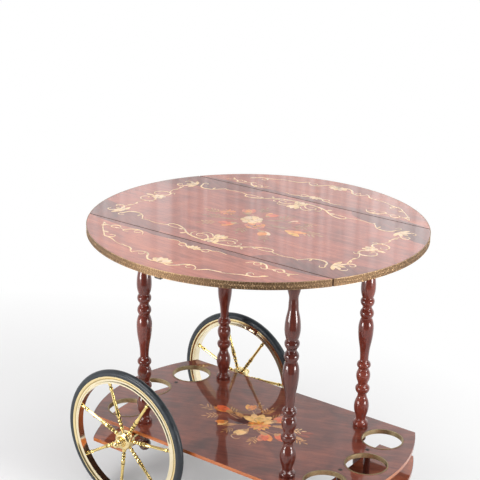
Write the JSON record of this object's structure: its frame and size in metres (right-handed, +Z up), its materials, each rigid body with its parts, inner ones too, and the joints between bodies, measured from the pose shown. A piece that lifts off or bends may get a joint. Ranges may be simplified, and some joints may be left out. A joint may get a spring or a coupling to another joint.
{
  "type": "bar cart",
  "caption": "Bar cart with a round inlaid drop-leaf top on turned columns, a shelf with bottle wells, spoked wheels on an axle and swivel casters.",
  "frame": {"origin": "on the floor under the centre of the round top", "axes": "+X along the seams of the top towards the caster end, +Y towards the back leaf, +Z up"},
  "size_m": [0.76, 0.76, 0.69],
  "materials": {
    "veneer_top": "high-gloss lacquered veneer with inlay",
    "band_brass": "embossed, aged",
    "mahogany": "dark red-brown stain under gloss lacquer",
    "veneer_shelf": "high-gloss lacquered veneer with inlay",
    "edging": "orange-brown lacquered edging",
    "ring_brass": "dull, aged",
    "wheel_brass": "polished",
    "tyre_rubber": "smooth black rubber",
    "steel": "plain",
    "hinge_brass": "satin",
    "stay_wood": "near-black stain",
    "stay_metal": "dark brown enamel",
    "caster_brass": "polished",
    "caster_tread": "matt black"
  },
  "bodies": {
    "cart_frame": {"centre_panel": "veneer_top", "shelf_board": "veneer_shelf", "shelf_edging": "edging", "rest_edging": "edging", "rest_posts": "mahogany", "rest_screws": "steel", "axle_rod": "steel", "axle_spacers": "wheel_brass", "axle_washers": "wheel_brass", "axle_cap_nuts": "wheel_brass", "hinge_plates_fixed": "hinge_brass", "hinge_pins": "steel", "panel_screws": "hinge_brass", "stay_pins": "steel", "centre_band_left": "band_brass", "bottle_rest_left": "veneer_shelf", "bottle_ring_front_left": "ring_brass", "bottle_ring_middle_left": "ring_brass", "bottle_ring_back_left": "ring_brass", "centre_band_right": "band_brass", "bottle_rest_right": "veneer_shelf", "bottle_ring_front_right": "ring_brass", "bottle_ring_middle_right": "ring_brass", "bottle_ring_back_right": "ring_brass", "column_front_left": "mahogany", "column_front_right": "mahogany", "finial_front": "mahogany", "leg_front": "mahogany", "caster_socket_front": "caster_brass", "stay_base_front": "stay_metal", "column_back_left": "mahogany", "column_back_right": "mahogany", "finial_back": "mahogany", "leg_back": "mahogany", "caster_socket_back": "caster_brass", "stay_base_back": "stay_metal"},
    "leaf_front": {"leaf_panel_front": "veneer_top", "leaf_band_front": "band_brass", "hinge_plates_leaf_front": "hinge_brass", "leaf_screws_front": "hinge_brass", "stay_arm_front": "stay_wood"},
    "wheel_front": {"tyre_front": "tyre_rubber", "rim_front": "wheel_brass", "spokes_front": "wheel_brass", "hub_front": "wheel_brass"},
    "caster_front": {"caster_fork_front": "caster_brass", "caster_pin_front": "steel"},
    "caster_roller_front": {"caster_wheel_front": "caster_tread"},
    "leaf_back": {"leaf_panel_back": "veneer_top", "leaf_band_back": "band_brass", "hinge_plates_leaf_back": "hinge_brass", "leaf_screws_back": "hinge_brass", "stay_arm_back": "stay_wood"},
    "wheel_back": {"tyre_back": "tyre_rubber", "rim_back": "wheel_brass", "spokes_back": "wheel_brass", "hub_back": "wheel_brass"},
    "caster_back": {"caster_fork_back": "caster_brass", "caster_pin_back": "steel"},
    "caster_roller_back": {"caster_wheel_back": "caster_tread"}
  },
  "joints": [
    {"name": "leaf_front_fold", "type": "hinge", "parent": "cart_frame", "child": "leaf_front", "pos_m": [0, -0.1994, 0.67], "axis": [1, 0, 0], "range_deg": [0, 90]},
    {"name": "wheel_front_spin", "type": "hinge", "parent": "cart_frame", "child": "wheel_front", "pos_m": [-0.2025, -0.2223, 0.171], "axis": [0, 1, 0], "continuous": true},
    {"name": "caster_front_swivel", "type": "hinge", "parent": "cart_frame", "child": "caster_front", "pos_m": [0.2025, -0.1531, 0.07], "axis": [0, 0, 1], "continuous": true},
    {"name": "caster_front_roll", "type": "hinge", "parent": "caster_front", "child": "caster_roller_front", "pos_m": [0.1845, -0.1531, 0.025], "axis": [0, 1, 0], "continuous": true},
    {"name": "leaf_back_fold", "type": "hinge", "parent": "cart_frame", "child": "leaf_back", "pos_m": [0, 0.1994, 0.67], "axis": [-1, 0, 0], "range_deg": [0, 90]},
    {"name": "wheel_back_spin", "type": "hinge", "parent": "cart_frame", "child": "wheel_back", "pos_m": [-0.2025, 0.2223, 0.171], "axis": [0, 1, 0], "continuous": true},
    {"name": "caster_back_swivel", "type": "hinge", "parent": "cart_frame", "child": "caster_back", "pos_m": [0.2025, 0.1531, 0.07], "axis": [0, 0, 1], "continuous": true},
    {"name": "caster_back_roll", "type": "hinge", "parent": "caster_back", "child": "caster_roller_back", "pos_m": [0.1845, 0.1531, 0.025], "axis": [0, 1, 0], "continuous": true}
  ]
}
